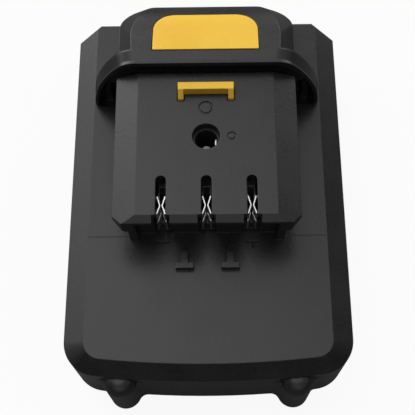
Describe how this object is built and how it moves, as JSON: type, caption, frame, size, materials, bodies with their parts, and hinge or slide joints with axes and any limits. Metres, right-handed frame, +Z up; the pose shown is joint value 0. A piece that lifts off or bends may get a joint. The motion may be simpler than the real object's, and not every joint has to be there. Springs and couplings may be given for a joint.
{
  "type": "slide-on battery pack for a cordless tool",
  "caption": "Flat battery pack with a bevelled shell, a raised rail block with contact slots and a charging hole, and a flared visor with a sprung release button",
  "frame": {"origin": "centre of the bottom of the pack's box, on the base face", "axes": "+Z up from the base to the rail side, +Y from the screw pillars to the release button, +X across the pack"},
  "size_m": [0.075, 0.1101, 0.049],
  "materials": {
    "shell": "fine moulded grain",
    "latch": "smooth moulded, satin",
    "contact": "nickel plated, bright",
    "nickel": "nickel strip, satin",
    "steel": "zinc plated steel",
    "cell_wrap": "shrink wrap",
    "frame_plastic": "as moulded",
    "black_plastic": "as moulded",
    "board": "solder mask",
    "can": "plain can",
    "sheet": "insulating paper",
    "foam": "closed-cell foam"
  },
  "bodies": {
    "housing": {"top_cover": "shell", "bottom_case": "shell", "contact_negative": "contact", "contact_sense": "contact", "contact_positive": "contact", "dc_jack_leaf": "contact", "strip_1_2": "nickel", "strip_2_3": "nickel", "strip_3_4": "nickel", "strip_4_5": "nickel", "tab_negative": "nickel", "tab_positive": "nickel", "dc_jack_pin": "steel", "case_screws": "steel", "retainer_screws": "steel", "latch_spring_left": "steel", "latch_spring_right": "steel", "cell_1": "cell_wrap", "cell_2": "cell_wrap", "cell_3": "cell_wrap", "cell_4": "cell_wrap", "cell_5": "cell_wrap", "cell_holder_left": "frame_plastic", "cell_holder_right": "frame_plastic", "board_tray": "frame_plastic", "latch_retainer": "frame_plastic", "terminal_block": "black_plastic", "dc_jack_body": "black_plastic", "board_chip": "black_plastic", "board_transistors": "black_plastic", "circuit_board": "board", "board_capacitor": "can", "insulator_left": "sheet", "insulator_right": "sheet", "cell_pad": "foam"},
    "latch": {"release_latch": "latch"}
  },
  "joints": [
    {"name": "latch_press", "type": "slide", "parent": "housing", "child": "latch", "axis": [0, 0, -1], "range_m": [0, 0.0035], "stiffness_N_per_m": 1200, "springref_m": -0.002, "deforming": ["latch_spring_left", "latch_spring_right"]}
  ]
}
